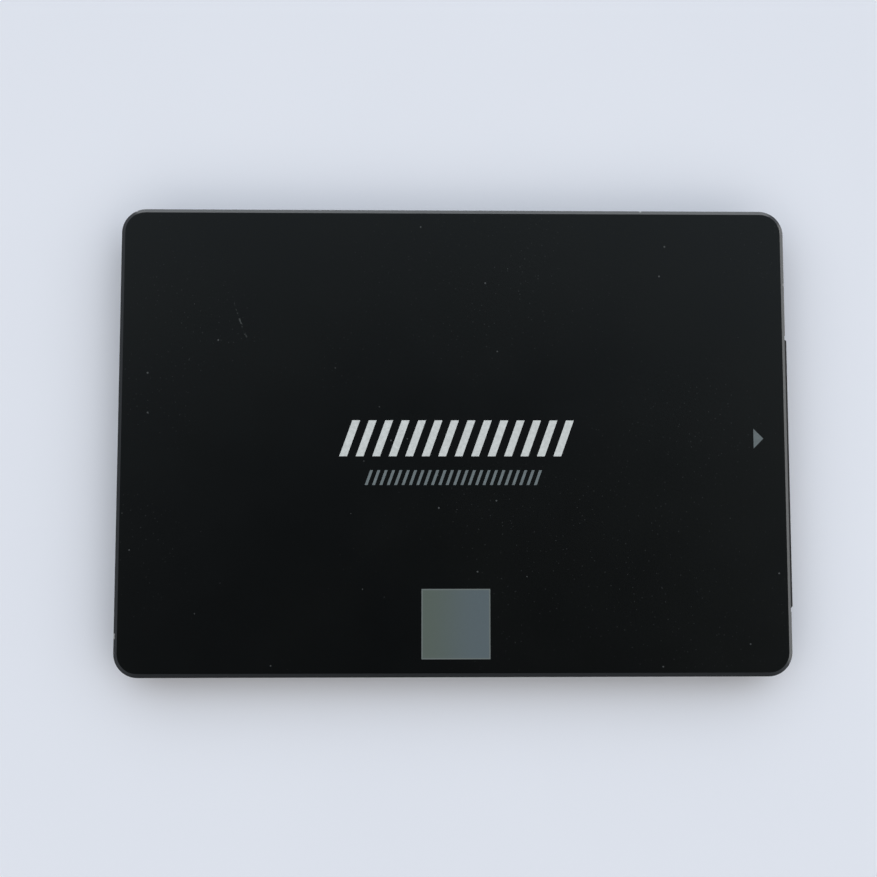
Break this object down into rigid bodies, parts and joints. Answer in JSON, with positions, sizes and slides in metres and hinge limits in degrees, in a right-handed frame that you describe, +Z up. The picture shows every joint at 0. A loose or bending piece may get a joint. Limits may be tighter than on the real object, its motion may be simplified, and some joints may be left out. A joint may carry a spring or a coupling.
{
  "type": "solid state drive",
  "caption": "Flat metal-cased storage drive with a combined signal and power plug at one end and threaded mounting holes below and in both sides.",
  "frame": {"origin": "centre of the bottom plane under the whole drive, plug included", "axes": "+X along the length towards the plug, +Y across, +Z up through the thickness"},
  "size_m": [0.1002, 0.0698, 0.0068],
  "materials": {
    "case_shell": "fine-blasted black anodising, bright cut edge",
    "case_plate": "fine-blasted black anodising",
    "screw_steel": "black oxide steel",
    "board_screw_steel": "bright plated steel",
    "label_film": "satin printed film",
    "board_laminate": "green solder mask over woven glass laminate",
    "plug_plastic": "glass-filled moulded plastic",
    "contact_gold": "gold plated strip",
    "tinned_metal": "tinned",
    "solder": "reflowed solder",
    "mould_compound": "fine-grained moulding compound",
    "regulator_compound": "fine-grained moulding compound",
    "ceramic_body": "fired tan ceramic",
    "resistor_body": "glazed black film",
    "polymer_case": "moulded epoxy",
    "inductor_core": "pressed iron powder",
    "crystal_ceramic": "fired ceramic",
    "crystal_metal": "plated lid",
    "fuse_body": "white ceramic",
    "thermal_silicone": "soft filled silicone"
  },
  "bodies": {
    "root": {"top_cover": "case_shell", "bottom_cover": "case_plate", "rear_label": "label_film", "case_screws": "screw_steel", "board_screws": "board_screw_steel", "circuit_board": "board_laminate", "connector_housing": "plug_plastic", "signal_contacts": "contact_gold", "power_contacts": "contact_gold", "connector_locks": "tinned_metal", "controller_package": "mould_compound", "controller_balls": "solder", "buffer_memory_package": "mould_compound", "buffer_memory_balls": "solder", "flash_balls": "solder", "power_regulator": "regulator_compound", "boot_memory_package": "mould_compound", "boot_memory_leads": "tinned_metal", "controller_thermal_pad": "thermal_silicone", "flash_thermal_pads": "thermal_silicone", "cover_thermal_pads": "thermal_silicone", "ceramic_capacitors": "ceramic_body", "ceramic_capacitor_terminals": "tinned_metal", "chip_resistors": "resistor_body", "resistor_terminals": "tinned_metal", "polymer_capacitors": "polymer_case", "polymer_capacitor_leads": "tinned_metal", "inductor_cores": "inductor_core", "inductor_terminals": "tinned_metal", "input_fuse": "fuse_body", "fuse_terminals": "tinned_metal", "surge_diode": "regulator_compound", "surge_diode_leads": "tinned_metal", "crystal_base": "crystal_ceramic", "crystal_lid": "crystal_metal", "flash_package_1": "mould_compound", "flash_package_2": "mould_compound", "flash_package_3": "mould_compound", "flash_package_4": "mould_compound", "flash_package_5": "mould_compound", "flash_package_6": "mould_compound", "flash_package_7": "mould_compound", "flash_package_8": "mould_compound"}
  },
  "joints": []
}
